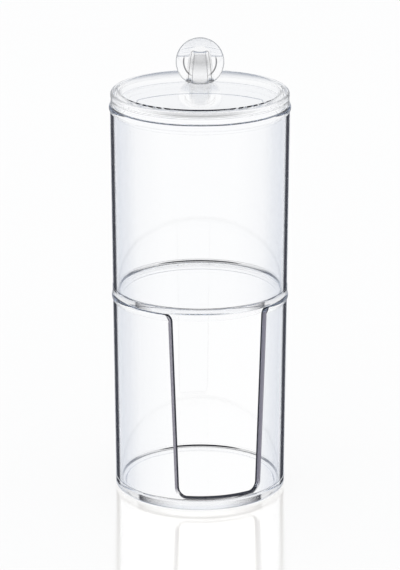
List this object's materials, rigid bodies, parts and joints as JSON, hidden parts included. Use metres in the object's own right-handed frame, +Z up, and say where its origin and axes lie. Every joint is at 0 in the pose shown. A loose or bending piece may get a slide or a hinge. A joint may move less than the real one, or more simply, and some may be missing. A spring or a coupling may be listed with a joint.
{
  "type": "two-tier cotton holder",
  "caption": "Clear plastic holder for cotton pads and buds: a slotted lower tier, a jar that stacks on it and a domed lid with a ball knob.",
  "frame": {"origin": "centre of the foot ring, on the surface that the holder stands on", "axes": "+Z up along the holder's axis, -Y out through the slot in the lower tier"},
  "size_m": [0.0792, 0.0792, 0.2037],
  "materials": {
    "lower_tier_clear": "clear, polished",
    "upper_jar_clear": "clear, polished",
    "lid_clear": "clear, polished",
    "ball_knob_clear": "clear, polished"
  },
  "bodies": {
    "lower_tier": {"lower_tier": "lower_tier_clear"},
    "upper_jar": {"upper_jar": "upper_jar_clear"},
    "lid": {"lid": "lid_clear", "ball_knob": "ball_knob_clear"}
  },
  "joints": [
    {"name": "upper_jar_lift", "type": "slide", "parent": "lower_tier", "child": "upper_jar", "axis": [0, 0, 1], "range_m": [0, 0.1]},
    {"name": "lid_lift", "type": "slide", "parent": "upper_jar", "child": "lid", "axis": [0, 0, 1], "range_m": [0, 0.1]}
  ]
}
